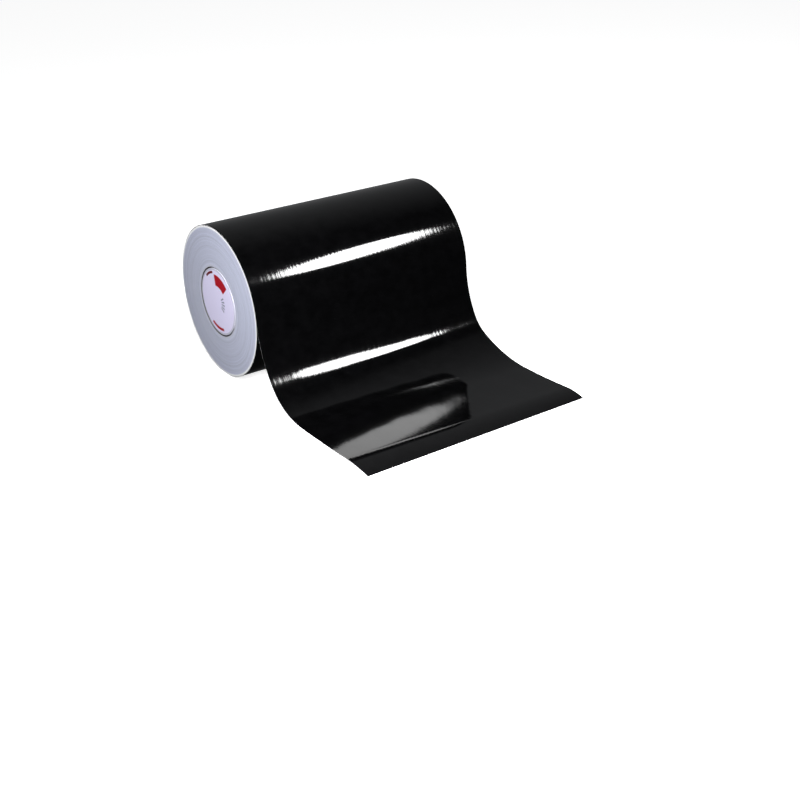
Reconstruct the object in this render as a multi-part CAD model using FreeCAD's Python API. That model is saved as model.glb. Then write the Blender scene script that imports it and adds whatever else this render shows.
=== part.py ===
import FreeCAD, Part

import math
import os

# A 12 inch roll of self-adhesive sign film on a 3 inch board core, standing on its side with its
# free tail pulled out over the surface in front of it.
# Frame, in millimetres: X along the roll's axis, -Y towards the tail's end, +Z up, and the origin
# at the middle of the core's bore.

# The web: a face film with its adhesive, on a release liner.
WEB_WIDTH = 304.8
FILM_THICK = 0.084
LINER_THICK = 0.154
WEB_THICK = FILM_THICK + LINER_THICK

# The wound roll.
ROLL_RADIUS = 93.7
LAP_CLEARANCE = 0.3
PACK_BORE_RADIUS = 43.1

# The board core and its three groups of plies.
CORE_RADIUS = 43.0
OUTER_PLY_THICK = 0.6
INNER_PLY_THICK = 1.0
CORE_BORE_RADIUS = 38.1
SEAT_WIDENING = 0.45
SEAT_DEPTH = 29.0
CORE_SHORTER = 1.5

# The strip of tape that starts the first lap on the core.
START_TAPE_THICK = 0.08
START_TAPE_WIDTH = 250.0
START_TAPE_ARC_DEG = 60.0

# The moulded end plugs and their labels.
FLANGE_RADIUS = 41.5
FLANGE_THICK = 1.5
FLANGE_EDGE = 0.4
CUP_RADIUS = 37.6
CUP_WALL = 1.6
CUP_DEPTH = 27.0
CUP_LEAD_IN = 1.0
HUB_RADIUS = 9.0
HUB_WALL = 1.4
WEBS_IN_PLUG = 6
PLUG_WEB_THICK = 1.2
PLUG_WEB_DEPTH = 22.0
RIBS_ON_PLUG = 12
RIB_HALF_WIDTH = 0.6
RIB_CLEARANCE = 0.05
RIB_START = 2.0
RIB_END = 24.0
LABEL_RADIUS = 39.0
LABEL_THICK = 0.15
LABEL_CLEARANCE = 0.1

# The tail, as arcs tangent to each other: it leaves the front of the roll a little above the axis,
# hangs, flares forward, touches down, rises a little and comes down again on its cut edge. The
# first three angles are its slopes, forward from straight down.
LEAVE_DEG = 3.5
HANG_RADIUS = 132.8
HANG_END_DEG = 33.8
FLARE_RADIUS = 57.6
FLARE_END_DEG = 66.6
RISE_LENGTH = 80.5
RISE_TURN_DEG = 3.95
TIP_TURN_DEG = 16.75

# Long arcs are divided where they leave their chords by this much, so that the two faces of a
# layer keep the same divisions.
ARC_SAG = 0.05

# The surface that the roll lies on, under the outer lap's lowest point.
LEAVE = math.radians(LEAVE_DEG)
FLOOR = -(ROLL_RADIUS - WEB_THICK / 2) - math.sin(LEAVE) * WEB_THICK / 2


def point_left_of(point, heading, distance):
    """The point a distance to the left of a heading in the YZ plane; 0 is +Y and 90 degrees +Z."""
    y = point[0] - distance * math.sin(heading)
    z = point[1] + distance * math.cos(heading)
    return (y, z)


def stretch(point, heading, radius, turn):
    """One arc of the web's face, as its start, heading, radius and signed turn, and its end."""
    side = math.copysign(radius, turn)
    centre = point_left_of(point, heading, side)
    end = point_left_of(centre, heading + turn, -side)
    return {"start": point, "heading": heading, "radius": radius, "turn": turn, "end": end}


def front_point(radius):
    """The point of the roll where the tail leaves it, at a radius."""
    return (-radius * math.cos(LEAVE), radius * math.sin(LEAVE))


def lap_path():
    """The outer lap: a half circle under the roll and a wider one over it, so that it spirals."""
    heading = -math.pi / 2 - LEAVE
    start = front_point(ROLL_RADIUS - WEB_THICK)
    lower = stretch(start, heading, ROLL_RADIUS - WEB_THICK / 2, math.pi)
    upper = stretch(lower["end"], heading + math.pi, ROLL_RADIUS, math.pi)
    return [lower, upper]


def hanging_path():
    """The tail from the front of the roll to the line where it first touches down."""
    hang = math.radians(HANG_END_DEG)
    flare = math.radians(FLARE_END_DEG)
    point = front_point(ROLL_RADIUS)
    dropped = HANG_RADIUS * (math.sin(hang) - math.sin(LEAVE))
    dropped += FLARE_RADIUS * (math.sin(flare) - math.sin(hang))
    landing_radius = (point[1] - dropped - FLOOR - WEB_THICK) / (1 - math.sin(flare))
    turns = [
        (HANG_RADIUS, hang - LEAVE),
        (FLARE_RADIUS, flare - hang),
        (landing_radius, math.pi / 2 - flare),
    ]
    heading = -math.pi / 2 - LEAVE
    path = []
    for radius, turn in turns:
        path.append(stretch(point, heading, radius, -turn))
        point = path[-1]["end"]
        heading -= turn
    return path


def lying_path(point):
    """The tail's end: a slight rise, then an arch that comes down on its cut edge."""
    rise = math.radians(RISE_TURN_DEG)
    fall = math.radians(TIP_TURN_DEG) - rise
    rising = stretch(point, -math.pi, RISE_LENGTH / rise, -rise)
    height = rising["end"][1] - FLOOR - WEB_THICK * math.cos(fall)
    arch_radius = height / (math.cos(rise) - math.cos(fall))
    falling = stretch(rising["end"], -math.pi - rise, arch_radius, rise + fall)
    return [rising, falling]


def offset_point(part, along, depth):
    """A point a share of the way along a stretch, a depth under the web's face."""
    side = math.copysign(part["radius"], part["turn"])
    centre = point_left_of(part["start"], part["heading"], side)
    heading = part["heading"] + part["turn"] * along
    y, z = point_left_of(centre, heading, depth - side)
    return FreeCAD.Vector(-WEB_WIDTH / 2, y, z)


def outline_edges(path, depth):
    """The short arcs of one face of a layer, from the path's start to its end."""
    edges = []
    for part in path:
        step = 2 * math.acos(1 - ARC_SAG / part["radius"])
        count = math.ceil(abs(part["turn"]) / step)
        for i in range(count):
            places = [i / count, (i + 0.5) / count, (i + 1) / count]
            start, middle, end = [offset_point(part, place, depth) for place in places]
            edges.append(Part.Arc(start, middle, end).toShape())
    return edges


def web_layer(path, top, bottom):
    """One layer of the web between two depths under its face, as wide as the web."""
    top_start = offset_point(path[0], 0, top)
    top_end = offset_point(path[-1], 1, top)
    bottom_start = offset_point(path[0], 0, bottom)
    bottom_end = offset_point(path[-1], 1, bottom)
    edges = outline_edges(path, top)
    edges.append(Part.LineSegment(top_end, bottom_end).toShape())
    edges.extend(reversed(outline_edges(path, bottom)))
    edges.append(Part.LineSegment(bottom_start, top_start).toShape())
    outline = Part.Wire(Part.__sortEdges__(edges))
    return Part.Face(outline).extrude(FreeCAD.Vector(WEB_WIDTH, 0, 0))


def cylinder(radius, start, end):
    """A solid cylinder along X."""
    base = FreeCAD.Vector(start, 0, 0)
    return Part.makeCylinder(radius, end - start, base, FreeCAD.Vector(1, 0, 0))


def tube(outer, inner, start, end):
    """A tube along X."""
    return cylinder(outer, start, end).cut(cylinder(inner, start, end))


def wound_pack():
    """All the laps under the outer one, wound tight, with flat sides."""
    outer = ROLL_RADIUS - 2 * WEB_THICK - LAP_CLEARANCE
    return tube(outer, PACK_BORE_RADIUS, -WEB_WIDTH / 2, WEB_WIDTH / 2)


def core_outer_ply():
    end = WEB_WIDTH / 2 - CORE_SHORTER
    return tube(CORE_RADIUS, CORE_RADIUS - OUTER_PLY_THICK, -end, end)


def core_board():
    end = WEB_WIDTH / 2 - CORE_SHORTER
    inner = CORE_BORE_RADIUS + INNER_PLY_THICK
    return tube(CORE_RADIUS - OUTER_PLY_THICK, inner, -end, end)


def core_inner_ply():
    """The bore's own ply, which the plugs have pressed wider at both ends."""
    end = WEB_WIDTH / 2 - CORE_SHORTER
    ply = tube(CORE_BORE_RADIUS + INNER_PLY_THICK, CORE_BORE_RADIUS, -end, end)
    seat = CORE_BORE_RADIUS + SEAT_WIDENING
    ply = ply.cut(cylinder(seat, -end, -end + SEAT_DEPTH))
    return ply.cut(cylinder(seat, end - SEAT_DEPTH, end))


def core_start_tape():
    """A strip of tape over part of the core, where the first lap starts."""
    half = START_TAPE_WIDTH / 2
    outer = Part.makeCylinder(
        CORE_RADIUS + START_TAPE_THICK,
        START_TAPE_WIDTH,
        FreeCAD.Vector(-half, 0, 0),
        FreeCAD.Vector(1, 0, 0),
        START_TAPE_ARC_DEG,
    )
    return outer.cut(cylinder(CORE_RADIUS, -half, half))


def crush_rib(index):
    """A rib along the plug's cup, which the core's bore crushes."""
    seat = CORE_BORE_RADIUS + SEAT_WIDENING - RIB_CLEARANCE
    base = CUP_RADIUS - 0.5 * CUP_WALL
    points = [
        FreeCAD.Vector(RIB_START, -RIB_HALF_WIDTH, base),
        FreeCAD.Vector(RIB_START, RIB_HALF_WIDTH, base),
        FreeCAD.Vector(RIB_START, 0, seat),
        FreeCAD.Vector(RIB_START, -RIB_HALF_WIDTH, base),
    ]
    rib = Part.Face(Part.makePolygon(points)).extrude(FreeCAD.Vector(RIB_END - RIB_START, 0, 0))
    rib.rotate(FreeCAD.Vector(0, 0, 0), FreeCAD.Vector(1, 0, 0), index * 360 / RIBS_ON_PLUG)
    return rib


def plug_web(index):
    """A radial web inside the cup, between its centre tube and its wall."""
    long = CUP_RADIUS - 0.5 * CUP_WALL - HUB_RADIUS + 0.5 * HUB_WALL
    web = Part.makeBox(
        PLUG_WEB_DEPTH,
        PLUG_WEB_THICK,
        long,
        FreeCAD.Vector(0, -PLUG_WEB_THICK / 2, HUB_RADIUS - 0.5 * HUB_WALL),
    )
    web.rotate(FreeCAD.Vector(0, 0, 0), FreeCAD.Vector(1, 0, 0), (index + 0.25) * 360 / WEBS_IN_PLUG)
    return web


def end_plug():
    """A plug with its flange's back face at X = 0 and its cup towards +X."""
    flange = cylinder(FLANGE_RADIUS, -FLANGE_THICK, 0)
    rim = [e for e in flange.Edges if abs(e.CenterOfMass.x + FLANGE_THICK) < FLANGE_EDGE / 10]
    flange = flange.makeFillet(FLANGE_EDGE, [e for e in rim if e.Closed and len(e.Vertexes) == 1])
    cup = cylinder(CUP_RADIUS, 0, CUP_DEPTH)
    mouth = [e for e in cup.Edges if e.CenterOfMass.x > CUP_DEPTH - 0.01 and len(e.Vertexes) == 1]
    cup = cup.makeChamfer(CUP_LEAD_IN, mouth)
    cup = cup.cut(cylinder(CUP_RADIUS - CUP_WALL, 0, CUP_DEPTH))
    hub = tube(HUB_RADIUS, HUB_RADIUS - HUB_WALL, 0, PLUG_WEB_DEPTH)
    ribs = [crush_rib(i) for i in range(RIBS_ON_PLUG)]
    webs = [plug_web(i) for i in range(WEBS_IN_PLUG)]
    plug = flange.fuse([cup, hub] + ribs + webs).removeSplitter()
    recess = LABEL_RADIUS + LABEL_CLEARANCE
    return plug.cut(cylinder(recess, -FLANGE_THICK, -FLANGE_THICK + LABEL_THICK))


def plug_label():
    """The round label in the flange's recess."""
    return cylinder(LABEL_RADIUS, -FLANGE_THICK, -FLANGE_THICK + LABEL_THICK)


def at_near_end(shape):
    """A plug's piece, moved to the end of the core at -X."""
    shape.translate(FreeCAD.Vector(-(WEB_WIDTH / 2 - CORE_SHORTER), 0, 0))
    return shape


def at_far_end(shape):
    """The same at +X, turned half round about Z so that it faces the other way."""
    shape = at_near_end(shape)
    shape.rotate(FreeCAD.Vector(0, 0, 0), FreeCAD.Vector(0, 0, 1), 180)
    return shape


def build():
    """Every sub-part by name."""
    hanging = hanging_path()
    lying = lying_path(hanging[-1]["end"])
    whole = lap_path() + hanging
    return {
        "face_film": web_layer(whole, 0, FILM_THICK),
        "release_liner": web_layer(whole, FILM_THICK, WEB_THICK),
        "face_film_end": web_layer(lying, 0, FILM_THICK),
        "release_liner_end": web_layer(lying, FILM_THICK, WEB_THICK),
        "wound_pack": wound_pack(),
        "core_start_tape": core_start_tape(),
        "core_outer_ply": core_outer_ply(),
        "core_board": core_board(),
        "core_inner_ply": core_inner_ply(),
        "near_end_plug": at_near_end(end_plug()),
        "near_plug_label": at_near_end(plug_label()),
        "far_end_plug": at_far_end(end_plug()),
        "far_plug_label": at_far_end(plug_label()),
    }


os.makedirs("parts", exist_ok=True)
for name, shape in build().items():
    shape.exportStep("parts/" + name + ".step")
    box = shape.BoundBox
    print(name, len(shape.Solids), shape.isValid(), round(shape.Volume, 1), [
        round(v, 2) for v in (box.XMin, box.XMax, box.YMin, box.YMax, box.ZMin, box.ZMax)
    ])
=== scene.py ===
import math
import random

import bmesh
import bpy
import numpy as np
from mathutils import Matrix, Vector


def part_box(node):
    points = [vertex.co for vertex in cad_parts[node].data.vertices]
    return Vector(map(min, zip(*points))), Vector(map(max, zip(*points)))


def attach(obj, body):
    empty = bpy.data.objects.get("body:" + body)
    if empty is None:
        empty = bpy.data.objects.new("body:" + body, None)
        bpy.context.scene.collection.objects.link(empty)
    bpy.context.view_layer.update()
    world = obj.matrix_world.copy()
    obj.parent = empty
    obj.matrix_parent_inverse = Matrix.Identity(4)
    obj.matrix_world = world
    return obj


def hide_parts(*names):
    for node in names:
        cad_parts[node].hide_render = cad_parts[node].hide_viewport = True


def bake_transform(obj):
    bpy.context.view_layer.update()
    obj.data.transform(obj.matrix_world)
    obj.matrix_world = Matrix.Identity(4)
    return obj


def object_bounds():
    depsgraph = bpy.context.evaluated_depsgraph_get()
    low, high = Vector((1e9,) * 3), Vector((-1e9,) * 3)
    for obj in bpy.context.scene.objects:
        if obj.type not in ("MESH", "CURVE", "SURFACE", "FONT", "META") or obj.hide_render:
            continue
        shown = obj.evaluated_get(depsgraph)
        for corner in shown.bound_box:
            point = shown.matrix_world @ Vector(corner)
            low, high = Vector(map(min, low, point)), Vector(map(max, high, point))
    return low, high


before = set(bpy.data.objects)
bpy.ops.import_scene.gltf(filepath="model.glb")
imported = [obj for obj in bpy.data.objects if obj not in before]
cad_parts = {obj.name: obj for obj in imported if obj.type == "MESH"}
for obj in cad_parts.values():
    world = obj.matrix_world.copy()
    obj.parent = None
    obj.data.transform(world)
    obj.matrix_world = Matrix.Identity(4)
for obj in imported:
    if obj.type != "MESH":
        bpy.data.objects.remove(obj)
cad_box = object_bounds()

# Sizes are in metres in the CAD's frame: X along the roll's axis, -Y towards the tail's end, and
# +Z up.

# The web and the roll, from the frame.
PACK_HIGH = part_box("wound_pack")[1]
CORE_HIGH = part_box("core_outer_ply")[1]
CORE_GAP = 0.0001
LAP_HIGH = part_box("face_film")[1]
HALF_WIDTH = PACK_HIGH.x
ROLL_RADIUS = LAP_HIGH.z
PACK_RADIUS = PACK_HIGH.z
PACK_BORE = CORE_HIGH.z + CORE_GAP
FLOOR = cad_box[0].z
FILM_THICK = 0.000084
WEB_THICK = 0.000238

# The hanging and lying tail at its two edges, which differ because the sheet is slightly twisted.
# Angles are in degrees; the slopes are forward from straight down.
NEAR_EDGE = {
    "leave": 4.12, "hang_radius": 0.1365, "hang_turn": 31.36, "flare_radius": 0.0686,
    "flare_turn": 33.98, "rise_turn": 3.5, "tip_turn": 14.0,
}
FAR_EDGE = {
    "leave": 2.90, "hang_radius": 0.1291, "hang_turn": 29.25, "flare_radius": 0.0466,
    "flare_turn": 31.52, "rise_turn": 4.4, "tip_turn": 19.5,
}
MEAN_LEAVE = math.radians(3.5)
TIP = cad_box[0].y
LAP_LENGTH = math.pi * (2 * ROLL_RADIUS - WEB_THICK / 2)

# The mesh's divisions.
LAP_STEPS = 90
HANG_STEPS = 40
FLARE_STEPS = 26
LANDING_STEPS = 34
RISE_STEPS = 48
ARCH_STEPS = 26
ACROSS = 72
STATIONS_PER_LAP = 96

# Slight unevenness of the free tail, off its smooth curve: two sets of waves, each as the radians
# per metre across and along the web and a phase, and the second's height as a share of the first's.
RIPPLE = 0.00010
WIDE_WAVES = (71, 23, 0.6)
NARROW_WAVES = (143, -37, 1.9)
NARROW_SHARE = 0.6

# The limits between which the rise's length is sought, and how closely.
SHORTEST_RISE = 0.03
LONGEST_RISE = 0.16
RISE_CLOSENESS = 1e-7

# How far the wound edges step in from the widest lap: by chance from lap to lap, and in a slow
# swell whose two waves are in radians per lap.
EDGE_WANDER = 0.00003
CHANCE_SHARE = 0.55
SWELL_SHARE = 0.45
SWELL_WAVES = (0.16, 0.041)
WANDER_SEED = 7

# Angles in degrees past which an edge is shaded as sharp.
SHARP_ANGLE = 30
SHEET_SHARP_ANGLE = 40

# The disc label: its thickness, and its plain marks as (inner radius, outer radius, start, end,
# material), with clock angles in degrees seen from outside.
LABEL_THICK = 0.00015
LABEL_SECTOR = 2
LABEL_INNER_RINGS = {0.004, 0.008}
LABEL_RIM = 0.0003
LABEL_MARKS = [
    (0.020, 0.034, -10, 46, 1),
    (0.033, 0.0365, 164, 210, 1),
    (0.035, 0.038, 316, 346, 2),
    (0.009, 0.0165, 56, 64, 3),
    (0.009, 0.0165, 72, 80, 3),
    (0.009, 0.0165, 88, 96, 3),
    (0.009, 0.0165, 104, 112, 3),
    (0.009, 0.0165, 120, 128, 3),
]

# The studio: a floor, a dome round it, two lights as (place, size, power), and the room's glow.
FLOOR_HALF = 30.0
DOME_RADIUS = 25.0
KEY_PLACE = (0.88, -1.16, 1.09)
KEY_SIZE = (0.58, 0.33)
KEY_POWER = 18
KEY_TILT = 34
FILL_PLACE = (-0.40, -0.50, 0.40)
FILL_SIZE = (0.25, 0.25)
FILL_POWER = 12.8
ROOM_COLOUR = (0.95, 0.97, 1.0, 1)
ROOM_BACK = (0.51, 0.80, 0.25)
ROOM_GLOW_FROM = 0.3
ROOM_DIM = 0.012
ROOM_BRIGHT = 0.17

# The camera: its place, its lens in millimetres, and its azimuth, elevation and roll in degrees.
CAMERA_PLACE = (-0.7656, -1.25611, 0.56352)
CAMERA_LENS = 55.72
CAMERA_AZIMUTH = -34.93
CAMERA_ELEVATION = 26.858
CAMERA_ROLL = -0.88


# ---------------------------------------------------------------- materials

class Finish:
    """A Principled material and short ways to add detail to it."""

    def __init__(self, name, colour, roughness, specular=0.5):
        self.material = bpy.data.materials.new(name)
        self.material.use_nodes = True
        self.tree = self.material.node_tree
        self.shader = self.tree.nodes["Principled BSDF"]
        self.shader.inputs["Base Color"].default_value = (*colour, 1)
        self.shader.inputs["Roughness"].default_value = roughness
        self.shader.inputs["Specular IOR Level"].default_value = specular

    def node(self, kind, **values):
        made = self.tree.nodes.new(kind)
        for key, value in values.items():
            setattr(made, key, value)
        return made

    def join(self, output, target):
        self.tree.links.new(output, target)

    def maths(self, operation, first, second=None):
        """A Math node's output; each input is another output or a number."""
        made = self.node("ShaderNodeMath", operation=operation)
        for place, value in enumerate((first, second)):
            if value is None:
                continue
            if isinstance(value, (int, float)):
                made.inputs[place].default_value = value
            else:
                self.join(value, made.inputs[place])
        return made.outputs[0]

    def place(self, stretch=(1, 1, 1), uv=None):
        """Coordinates in metres, scaled along each axis."""
        if uv:
            source = self.node("ShaderNodeUVMap", uv_map=uv).outputs["UV"]
        else:
            source = self.node("ShaderNodeTexCoord").outputs["Object"]
        mapping = self.node("ShaderNodeMapping")
        mapping.inputs["Scale"].default_value = stretch
        self.join(source, mapping.inputs["Vector"])
        return mapping.outputs["Vector"]

    def noise(self, place, scale, detail=3.0, roughness=0.5):
        made = self.node("ShaderNodeTexNoise")
        made.inputs["Scale"].default_value = scale
        made.inputs["Detail"].default_value = detail
        made.inputs["Roughness"].default_value = roughness
        self.join(place, made.inputs["Vector"])
        return made.outputs["Fac"]

    def ramp(self, value, *stops):
        """A colour ramp from (position, grey or colour) stops."""
        made = self.node("ShaderNodeValToRGB")
        self.join(value, made.inputs["Fac"])
        elements = made.color_ramp.elements
        while len(elements) < len(stops):
            elements.new(0.5)
        for element, (position, colour) in zip(elements, stops):
            element.position = position
            rgb = (colour,) * 3 if isinstance(colour, (int, float)) else colour
            element.color = (*rgb, 1)
        return made.outputs["Color"]

    def multiply(self, first, second):
        made = self.node("ShaderNodeMix", data_type="RGBA", blend_type="MULTIPLY")
        made.inputs["Factor"].default_value = 1.0
        self.join(first, made.inputs["A"])
        self.join(second, made.inputs["B"])
        return made.outputs["Result"]

    def colour(self, output):
        self.join(output, self.shader.inputs["Base Color"])

    def roughen(self, value, low, high):
        made = self.node("ShaderNodeMapRange")
        self.join(value, made.inputs["Value"])
        made.inputs["To Min"].default_value = low
        made.inputs["To Max"].default_value = high
        self.join(made.outputs["Result"], self.shader.inputs["Roughness"])

    def bump(self, height, distance, strength=1.0, under=None):
        """Relief of a height in metres, on top of another Bump node's."""
        made = self.node("ShaderNodeBump")
        made.inputs["Strength"].default_value = strength
        made.inputs["Distance"].default_value = distance
        self.join(height, made.inputs["Height"])
        if under:
            self.join(under.outputs["Normal"], made.inputs["Normal"])
        self.join(made.outputs["Normal"], self.shader.inputs["Normal"])
        return made


def film_finish():
    """Black gloss film: faint streaks along its travel, orange peel and a little handling dust."""
    made = Finish("gloss_black_film", (0.0030, 0.0030, 0.0036), 0.05, 0.5)
    streaks = made.noise(made.place((1, 0.04, 1), "travel"), 320, 3)
    peel = made.noise(made.place(uv="travel"), 900, 2)
    dust = made.noise(made.place(uv="travel"), 60, 6, 0.7)
    clean, dusty = (0.0006, 0.0006, 0.0007), (0.0016, 0.0016, 0.0018)
    made.colour(made.ramp(dust, (0.35, clean), (0.75, dusty)))
    made.roughen(streaks, 0.035, 0.085)
    streak_relief, peel_relief = 0.00006, 0.0000012
    coarse = made.bump(streaks, streak_relief)
    made.bump(peel, peel_relief, under=coarse)
    return made.material


def liner_finish():
    """Coated release paper: cool white, with fibre and slight cockle."""
    made = Finish("release_paper", (0.78, 0.79, 0.80), 0.5, 0.4)
    fibre = made.noise(made.place((1, 0.4, 1), "travel"), 1400, 5, 0.65)
    cockle = made.noise(made.place(uv="travel"), 45, 3)
    made.colour(made.ramp(fibre, (0.3, (0.72, 0.73, 0.75)), (0.7, (0.82, 0.83, 0.84))))
    made.roughen(fibre, 0.42, 0.60)
    low = made.bump(cockle, 0.00006)
    made.bump(fibre, 0.000008, under=low)
    return made.material


def wound_edge_finish(pitch, last_angle):
    """The laps' cut edges: each is a dark line of film on a light line of liner, in tone bands, with
    a painted highlight as a near-white rim on the outermost laps.
    """
    made = Finish("wound_edges", (0.5, 0.52, 0.58), 0.5, 0.45)
    coordinates = made.node("ShaderNodeTexCoord").outputs["Object"]
    split = made.node("ShaderNodeSeparateXYZ")
    made.join(coordinates, split.inputs[0])
    y, z = split.outputs["Y"], split.outputs["Z"]
    squares = made.maths("ADD", made.maths("MULTIPLY", y, y), made.maths("MULTIPLY", z, z))
    radius = made.maths("SQRT", squares)
    angle = made.maths("SUBTRACT", made.maths("ARCTAN2", z, y), last_angle)
    turns = made.maths("DIVIDE", angle, 2 * math.pi)
    laps = made.maths("DIVIDE", made.maths("SUBTRACT", radius, PACK_BORE), pitch)
    within = made.maths("FRACT", made.maths("SUBTRACT", laps, turns))
    film_from = 1 - FILM_THICK / WEB_THICK
    blur, film_tone = 0.03, 0.80
    layers = made.ramp(
        within, (0.0, 0.98), (film_from - blur, 1.0), (film_from + blur, film_tone), (1.0, film_tone)
    )
    lap_tone = made.node("ShaderNodeTexNoise", noise_dimensions="1D")
    lap_tone.inputs["Detail"].default_value = 6.0
    lap_tone.inputs["Roughness"].default_value = 0.75
    lap_tone.inputs["Scale"].default_value = 1.0
    bands_per_metre = 330
    made.join(made.maths("MULTIPLY", radius, bands_per_metre), lap_tone.inputs["W"])
    bands = made.ramp(lap_tone.outputs["Fac"], (0.3, 0.80), (0.7, 1.12))
    share = made.maths(
        "DIVIDE", made.maths("SUBTRACT", radius, PACK_BORE), PACK_RADIUS - PACK_BORE
    )
    # From 0.965 of the way out, the tone turns near-white: a painted highlight of the outermost
    # laps' edges catching the light.
    tone_and_rim_highlight = made.ramp(
        share,
        (0.0, (0.56, 0.58, 0.68)),
        (0.10, (0.48, 0.505, 0.63)),
        (0.940, (0.47, 0.495, 0.62)),
        (0.965, (0.90, 0.91, 0.94)),
        (1.0, (0.93, 0.93, 0.95)),
    )
    made.colour(made.multiply(made.multiply(tone_and_rim_highlight, bands), layers))
    grain = made.noise(made.place(), 900, 4)
    made.roughen(grain, 0.42, 0.58)
    made.shader.inputs["Anisotropic"].default_value = 0.1
    tangent = made.node("ShaderNodeTangent", direction_type="RADIAL", axis="X")
    made.join(tangent.outputs[0], made.shader.inputs["Tangent"])
    made.bump(within, 0.000006, 0.5)
    return made.material


def board_finish(name, dark, light):
    """Wound board: its fibre, drawn out along the roll."""
    made = Finish(name, light, 0.85, 0.25)
    fibre = made.noise(made.place((0.5, 1, 1)), 700, 6, 0.7)
    made.colour(made.ramp(fibre, (0.3, dark), (0.72, light)))
    made.roughen(fibre, 0.75, 0.95)
    made.bump(fibre, 0.00005)
    return made.material


def plug_finish():
    """Moulded white plastic with a fine spark-eroded grain and slight flow marks."""
    made = Finish("plug_plastic", (0.48, 0.48, 0.58), 0.62, 0.25)
    grain = made.noise(made.place(), 2600, 3)
    flow = made.noise(made.place((1, 1, 2)), 40, 3)
    made.colour(made.ramp(flow, (0.3, (0.44, 0.44, 0.54)), (0.7, (0.52, 0.52, 0.62))))
    made.roughen(grain, 0.55, 0.70)
    made.bump(grain, 0.000010)
    return made.material


def tape_finish():
    """Clear packing tape gone slightly amber, with stretch lines."""
    made = Finish("start_tape", (0.72, 0.66, 0.50), 0.3, 0.5)
    lines = made.noise(made.place((1, 6, 6)), 120, 3)
    made.colour(made.ramp(lines, (0.3, (0.66, 0.60, 0.44)), (0.7, (0.76, 0.70, 0.55))))
    made.roughen(lines, 0.2, 0.4)
    made.bump(lines, 0.00002)
    return made.material


def printed_finish(name, dark, light, roughness):
    """Label paper, bare or under one flat ink."""
    made = Finish(name, light, roughness, 0.4)
    fibre = made.noise(made.place(), 1800, 5, 0.65)
    made.colour(made.ramp(fibre, (0.3, dark), (0.7, light)))
    made.roughen(fibre, roughness - 0.06, roughness + 0.08)
    made.bump(fibre, 0.000006)
    return made.material


def floor_finish():
    """A pale matt surface that glows a little, as a lit table does."""
    made = Finish("pale_floor", (0.9, 0.9, 0.9), 0.8, 0.2)
    grain = made.noise(made.place(), 60, 4)
    made.colour(made.ramp(grain, (0.3, 0.89), (0.7, 0.91)))
    made.roughen(grain, 0.78, 0.88)
    made.shader.inputs["Emission Color"].default_value = (1, 1, 1, 1)
    made.shader.inputs["Emission Strength"].default_value = 0.88
    return made.material


# ---------------------------------------------------------------- meshes

def turn_outward(mesh):
    """Makes every closed shell's faces look outward."""
    worked = bmesh.new()
    worked.from_mesh(mesh)
    bmesh.ops.recalc_face_normals(worked, faces=worked.faces)
    worked.to_mesh(mesh)
    worked.free()


def new_piece(name, points, faces, materials, kinds=None, uv=None, sharp=SHARP_ANGLE):
    """A mesh object with smooth faces and sharp corners; kinds are the faces' materials."""
    mesh = bpy.data.meshes.new(name)
    mesh.from_pydata([tuple(p) for p in points], [], faces)
    for material in materials:
        mesh.materials.append(material)
    if kinds is not None:
        mesh.polygons.foreach_set("material_index", np.array(kinds, np.int32))
    mesh.polygons.foreach_set("use_smooth", np.ones(len(mesh.polygons), bool))
    if uv is not None:
        layer = mesh.uv_layers.new(name="travel")
        corners = np.zeros(len(mesh.loops), np.int32)
        mesh.loops.foreach_get("vertex_index", corners)
        layer.data.foreach_set("uv", np.array(uv, np.float32)[corners].ravel())
    mesh.update()
    turn_outward(mesh)
    mesh.set_sharp_from_angle(angle=math.radians(sharp))
    piece = bpy.data.objects.new(name, mesh)
    bpy.context.scene.collection.objects.link(piece)
    return piece


def left_of(point, heading, distance):
    """The point a distance to the left of a heading in the YZ plane."""
    y = point[0] - distance * math.sin(heading)
    z = point[1] + distance * math.cos(heading)
    return (y, z)


def arc(point, heading, radius, turn, steps):
    """One arc of the web's face, with its number of divisions and its end."""
    side = math.copysign(radius, turn)
    centre = left_of(point, heading, side)
    end = left_of(centre, heading + turn, -side)
    return {"centre": centre, "heading": heading, "side": side, "turn": turn,
            "steps": steps, "end": end, "length": radius * abs(turn)}


def lying_arcs(point, rise_length, rise, tip):
    """The tail's end: a slight rise, then an arch that comes down on the cut edge."""
    rising = arc(point, -math.pi, rise_length / rise, -rise, RISE_STEPS)
    fall = tip - rise
    height = rising["end"][1] - FLOOR - WEB_THICK * math.cos(fall)
    arch_radius = height / (math.cos(rise) - math.cos(fall))
    return [rising, arc(rising["end"], -math.pi - rise, arch_radius, rise + fall, ARCH_STEPS)]


def arcs_to_tip(point, rise, tip):
    """The same, with the rise as long as brings the cut edge to its line."""
    short, long = SHORTEST_RISE, LONGEST_RISE
    while long - short > RISE_CLOSENESS:
        middle = (short + long) / 2
        if lying_arcs(point, middle, rise, tip)[1]["end"][0] > TIP:
            short = middle
        else:
            long = middle
    return lying_arcs(point, short, rise, tip)


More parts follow.
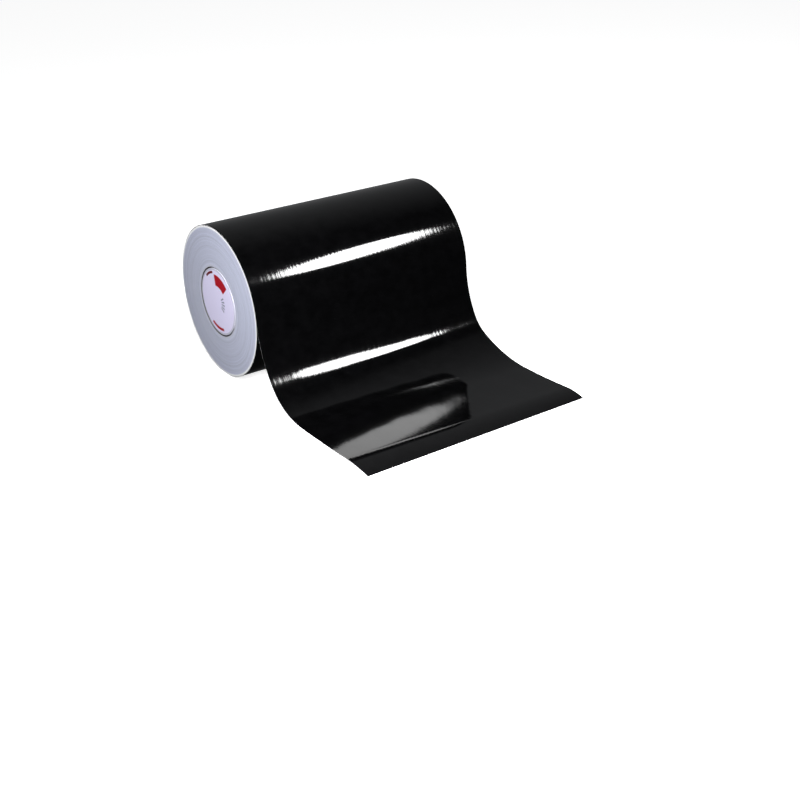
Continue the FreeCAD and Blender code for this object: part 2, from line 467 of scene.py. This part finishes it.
def web_arcs(share):
    """The web's path at a share of its width: the outer lap, and then the tail."""
    edge = {key: NEAR_EDGE[key] + share * (FAR_EDGE[key] - NEAR_EDGE[key]) for key in NEAR_EDGE}
    angles = ("leave", "hang_turn", "flare_turn", "rise_turn", "tip_turn")
    leave, hang_turn, flare_turn, rise, tip = (math.radians(edge[key]) for key in angles)
    down = -math.pi / 2 - leave
    inner = ROLL_RADIUS - WEB_THICK
    start = (-inner * math.cos(leave), inner * math.sin(leave))
    arcs = [arc(start, down, ROLL_RADIUS - WEB_THICK / 2, math.pi, LAP_STEPS)]
    arcs.append(arc(arcs[0]["end"], down + math.pi, ROLL_RADIUS, math.pi, LAP_STEPS))

    point = (-ROLL_RADIUS * math.cos(leave), ROLL_RADIUS * math.sin(leave))
    heading = down
    for radius, turn, steps in (
        (edge["hang_radius"], hang_turn, HANG_STEPS),
        (edge["flare_radius"], flare_turn, FLARE_STEPS),
    ):
        arcs.append(arc(point, heading, radius, -turn, steps))
        point = arcs[-1]["end"]
        heading -= turn
    landing = math.pi + heading
    landing_radius = (point[1] - FLOOR - WEB_THICK) / (1 - math.cos(landing))
    arcs.append(arc(point, heading, landing_radius, -landing, LANDING_STEPS))
    return arcs + arcs_to_tip(arcs[-1]["end"], rise, tip)


def tail_length(share):
    """The length of the tail alone, at a share of the web's width."""
    return sum(part["length"] for part in web_arcs(share)[2:])


TAIL_LENGTH = tail_length(0.5)


def ripple(x, along):
    """The tail's slight unevenness, nothing at the roll and at the cut edge."""
    if along <= 0:
        return 0.0
    fade = math.sin(math.pi * min(1.0, along / TAIL_LENGTH))
    across, down, phase = WIDE_WAVES
    wide = math.sin(x * across + along * down + phase)
    across, down, phase = NARROW_WAVES
    narrow = math.sin(x * across + along * down + phase)
    waves = wide + NARROW_SHARE * narrow
    return RIPPLE * fade * (waves + 1 + NARROW_SHARE) / 2


def web_rows(top, bottom):
    """For each place across the web, its x and the (y, z) of its upper and lower faces' rows."""
    columns = []
    for column in range(ACROSS + 1):
        share = column / ACROSS
        x = -HALF_WIDTH + 2 * HALF_WIDTH * share
        upper, lower, along = [], [], -LAP_LENGTH
        arcs = web_arcs(share)
        for number, part in enumerate(arcs):
            count = part["steps"] + (number == len(arcs) - 1)
            for step in range(count):
                done = step / part["steps"]
                heading = part["heading"] + part["turn"] * done
                lift = ripple(x, along + done * part["length"])
                upper.append(left_of(part["centre"], heading, top - lift - part["side"]))
                lower.append(left_of(part["centre"], heading, bottom - lift - part["side"]))
            along += part["length"]
        columns.append((x, upper, lower))
    return columns


def web_sheet(name, top, bottom, material):
    """One layer of the web as a closed sheet."""
    columns = web_rows(top, bottom)
    rows = len(columns[0][1])
    points, uv = [], []
    for side in (1, 2):
        for column in columns:
            travelled = 0.0
            for row, (y, z) in enumerate(column[side]):
                if row:
                    last = column[side][row - 1]
                    travelled += math.hypot(y - last[0], z - last[1])
                points.append((column[0], y, z))
                uv.append((column[0], travelled))
    layer = rows * len(columns)

    def at(side, column, row):
        return side * layer + column * rows + row

    faces, kinds = [], []
    for column in range(ACROSS):
        for row in range(rows - 1):
            corners = [(column, row), (column, row + 1), (column + 1, row + 1), (column + 1, row)]
            faces.append([at(0, *corner) for corner in corners])
            faces.append([at(1, *corner) for corner in reversed(corners)])
            kinds += [0, 0]
    for column, flip in ((0, False), (ACROSS, True)):
        for row in range(rows - 1):
            face = [at(0, column, row), at(1, column, row)]
            face += [at(1, column, row + 1), at(0, column, row + 1)]
            faces.append(face[::-1] if flip else face)
            kinds.append(1)
    for row, flip in ((0, True), (rows - 1, False)):
        for column in range(ACROSS):
            face = [at(0, column, row), at(1, column, row)]
            face += [at(1, column + 1, row), at(0, column + 1, row)]
            faces.append(face[::-1] if flip else face)
            kinds.append(1)
    return new_piece(name, points, faces, [material, material], kinds, uv, SHEET_SHARP_ANGLE)


def wound_ribbon(name, materials, turns, pitch, last_angle):
    """The wound web as one ribbon, whose laps stand slightly in or out; the first lap's back is the
    fourth material, darkened as painted shade for the groove round the plug, and the other laps'
    backs are the second."""
    draw = random.Random(WANDER_SEED)
    wander = [draw.random() for _ in range(turns + 2)]
    stations = turns * STATIONS_PER_LAP + 1
    points = []
    for station in range(stations):
        lap = station / STATIONS_PER_LAP
        angle = last_angle + 2 * math.pi * (lap - turns)
        inner = PACK_BORE + pitch * lap
        outer = inner + WEB_THICK
        below = int(lap)
        local = wander[below] + (lap - below) * (wander[below + 1] - wander[below])
        swell = 0.5 + 0.5 * math.sin(lap * SWELL_WAVES[0]) * math.cos(lap * SWELL_WAVES[1])
        shift = EDGE_WANDER * (CHANCE_SHARE * local + SWELL_SHARE * swell)
        near, far = -HALF_WIDTH + shift, HALF_WIDTH - EDGE_WANDER + shift
        y, z = math.cos(angle), math.sin(angle)
        points.append((near, outer * y, outer * z))
        points.append((far, outer * y, outer * z))
        points.append((far, inner * y, inner * z))
        points.append((near, inner * y, inner * z))
    faces, kinds = [], []
    for station in range(stations - 1):
        base = station * 4
        # The first lap's back takes the dark core tone: painted shade in the groove round the plug.
        back = 3 if station < STATIONS_PER_LAP else 1
        for side, kind in ((0, 0), (1, 2), (2, back), (3, 2)):
            after = (side + 1) % 4
            faces.append([base + side, base + after, base + 4 + after, base + 4 + side])
            kinds.append(kind)
    last = (stations - 1) * 4
    faces.append([3, 2, 1, 0])
    faces.append([last, last + 1, last + 2, last + 3])
    kinds += [2, 2]
    return new_piece(name, points, faces, materials, kinds)


def label_disc(name, radius, face_x, outward, materials):
    """A round label as a thin closed disc, whose marks are parts of its own front face."""
    marked = {r for mark in LABEL_MARKS for r in mark[:2]}
    rings = sorted(LABEL_INNER_RINGS | {radius - LABEL_RIM, radius} | marked)
    count = 360 // LABEL_SECTOR
    back_x = face_x - outward * LABEL_THICK

    def point(x, r, step):
        clock = math.radians(step * LABEL_SECTOR)
        return (x, outward * r * math.sin(clock), r * math.cos(clock))

    def kind(inner, step):
        clock = step * LABEL_SECTOR + LABEL_SECTOR / 2
        for start_r, end_r, start, end, index in LABEL_MARKS:
            if start_r <= inner < end_r and any(start <= clock - t < end for t in (0, 360)):
                return index
        return 0

    points = [(face_x, 0, 0), (back_x, 0, 0)]
    for r in rings:
        points += [point(face_x, r, step) for step in range(count)]
    rim = len(points)
    points += [point(back_x, rings[-1], step) for step in range(count)]
    faces, kinds = [], []
    for step in range(count):
        after = (step + 1) % count
        faces.append([0, 2 + after, 2 + step])
        kinds.append(0)
        for ring in range(len(rings) - 1):
            low, high = 2 + ring * count, 2 + (ring + 1) * count
            faces.append([low + step, low + after, high + after, high + step])
            kinds.append(kind(rings[ring], step))
        outer = 2 + (len(rings) - 1) * count
        faces.append([outer + step, outer + after, rim + after, rim + step])
        faces.append([1, rim + step, rim + after])
        kinds += [0, 0]
    return new_piece(name, points, faces, materials, kinds)


# ---------------------------------------------------------------- the object

def dress_node(name, material):
    """A carried-over CAD node with a better material."""
    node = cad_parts[name]
    node.data.materials.clear()
    node.data.materials.append(material)


def build_web(film, liner):
    """The film and the liner, each one sheet from the outer lap's start to the tail's cut edge."""
    liner_sheet = web_sheet("liner_sheet", FILM_THICK, WEB_THICK, liner)
    film_sheet = web_sheet("film_sheet", 0.0, FILM_THICK, film)
    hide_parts("face_film", "face_film_end")
    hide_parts("release_liner", "release_liner_end")
    for sheet in (film_sheet, liner_sheet):
        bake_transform(sheet)


def build_roll(film, liner):
    """The wound ribbon on its board core."""
    turns = int((PACK_RADIUS - PACK_BORE - WEB_THICK) / WEB_THICK)
    pitch = (PACK_RADIUS - PACK_BORE - WEB_THICK) / turns
    last_angle = math.pi - MEAN_LEAVE
    edges = wound_edge_finish(pitch, last_angle)
    # Both dark core tones are painted shade: the core board, its plies and the first lap's back are
    # darkened to stand for the shadow in the groove round each plug.
    dark_core_and_groove_shade = board_finish("core_plies_painted_shade", (0.030, 0.027, 0.026), (0.060, 0.054, 0.050))
    board = board_finish("core_board", (0.034, 0.030, 0.028), (0.075, 0.066, 0.058))
    ribbon = wound_ribbon("wound_ribbon", [film, liner, edges, dark_core_and_groove_shade], turns, pitch, last_angle)
    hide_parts("wound_pack")
    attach(ribbon, "roll")
    dress_node("core_outer_ply", dark_core_and_groove_shade)
    dress_node("core_board", board)
    dress_node("core_inner_ply", dark_core_and_groove_shade)
    dress_node("core_start_tape", tape_finish())


def build_plugs():
    """The two end plugs and their labels."""
    plastic = plug_finish()
    paper = printed_finish("label_paper", (0.63, 0.60, 0.80), (0.70, 0.67, 0.88), 0.45)
    red = printed_finish("label_red", (0.30, 0.004, 0.010), (0.42, 0.008, 0.020), 0.40)
    dark_red = printed_finish("label_dark_red", (0.09, 0.006, 0.010), (0.16, 0.010, 0.016), 0.40)
    grey = printed_finish("label_grey", (0.14, 0.15, 0.23), (0.22, 0.24, 0.32), 0.45)
    for end, outward in (("near", -1), ("far", 1)):
        dress_node(end + "_end_plug", plastic)
        low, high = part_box(end + "_plug_label")
        face_x = low.x if outward < 0 else high.x
        label = label_disc(end + "_label", high.z, face_x, outward, [paper, red, dark_red, grey])
        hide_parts(end + "_plug_label")
        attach(label, end + "_plug")


# ---------------------------------------------------------------- the stage

def build_floor():
    half = FLOOR_HALF
    corners = [(-half, -half, FLOOR), (half, -half, FLOOR)]
    corners += [(half, half, FLOOR), (-half, half, FLOOR)]
    floor = new_piece("floor", corners, [[0, 1, 2, 3]], [floor_finish()])
    floor.visible_glossy = False
    floor.visible_diffuse = False


def build_backdrop():
    """A pale dome round the floor, so that no view has a dark horizon."""
    bpy.ops.mesh.primitive_uv_sphere_add(segments=64, ring_count=32, radius=DOME_RADIUS)
    dome = bpy.context.object
    dome.name = "backdrop"
    dome.data.materials.append(floor_finish())
    dome.visible_glossy = False
    dome.visible_diffuse = False
    dome.visible_shadow = False


def softbox(name, place, aim, size, power, tilt=0.0):
    """An elliptical area light, aimed and turned about its own axis."""
    data = bpy.data.lights.new(name, "AREA")
    data.shape = "ELLIPSE"
    data.size, data.size_y = size
    data.energy = power
    lamp = bpy.data.objects.new(name, data)
    bpy.context.scene.collection.objects.link(lamp)
    facing = (Vector(aim) - Vector(place)).to_track_quat("-Z", "Y").to_matrix().to_4x4()
    turned = Matrix.Rotation(math.radians(tilt), 4, "Z")
    lamp.matrix_world = Matrix.Translation(place) @ facing @ turned
    lamp.visible_camera = False


def build_lights():
    """An elliptical key light, a soft fill for the near end, and a room that glows at its back."""
    softbox("key", KEY_PLACE, (0, 0, 0), KEY_SIZE, KEY_POWER, KEY_TILT)
    softbox("fill", FILL_PLACE, (-HALF_WIDTH, 0, 0), FILL_SIZE, FILL_POWER)
    world = bpy.data.worlds.new("studio")
    bpy.context.scene.world = world
    world.use_nodes = True
    tree = world.node_tree
    tree.nodes["Background"].inputs["Color"].default_value = ROOM_COLOUR
    facing = tree.nodes.new("ShaderNodeVectorMath")
    facing.operation = "DOT_PRODUCT"
    facing.inputs[1].default_value = Vector(ROOM_BACK).normalized()
    level = tree.nodes.new("ShaderNodeMapRange")
    level.interpolation_type = "SMOOTHSTEP"
    level.inputs["From Min"].default_value = ROOM_GLOW_FROM
    level.inputs["To Min"].default_value = ROOM_DIM
    level.inputs["To Max"].default_value = ROOM_BRIGHT
    direction = tree.nodes.new("ShaderNodeTexCoord").outputs["Generated"]
    tree.links.new(direction, facing.inputs[0])
    tree.links.new(facing.outputs["Value"], level.inputs["Value"])
    tree.links.new(level.outputs["Result"], tree.nodes["Background"].inputs["Strength"])
    bpy.context.scene.view_settings.view_transform = "Standard"


def build_camera():
    data = bpy.data.cameras.new("camera")
    data.lens = CAMERA_LENS
    camera = bpy.data.objects.new("camera", data)
    bpy.context.scene.collection.objects.link(camera)
    azimuth, elevation = math.radians(CAMERA_AZIMUTH), math.radians(CAMERA_ELEVATION)
    level = math.cos(elevation)
    back = Vector((math.sin(azimuth) * level, -math.cos(azimuth) * level, math.sin(elevation)))
    turned = (-back).to_track_quat("-Z", "Y").to_matrix().to_4x4()
    roll = Matrix.Rotation(math.radians(CAMERA_ROLL), 4, "Z")
    camera.matrix_world = Matrix.Translation(CAMERA_PLACE) @ turned @ roll
    bpy.context.scene.camera = camera


film, liner = film_finish(), liner_finish()
build_web(film, liner)
build_roll(film, liner)
build_plugs()
build_floor()
build_backdrop()
build_lights()
build_camera()
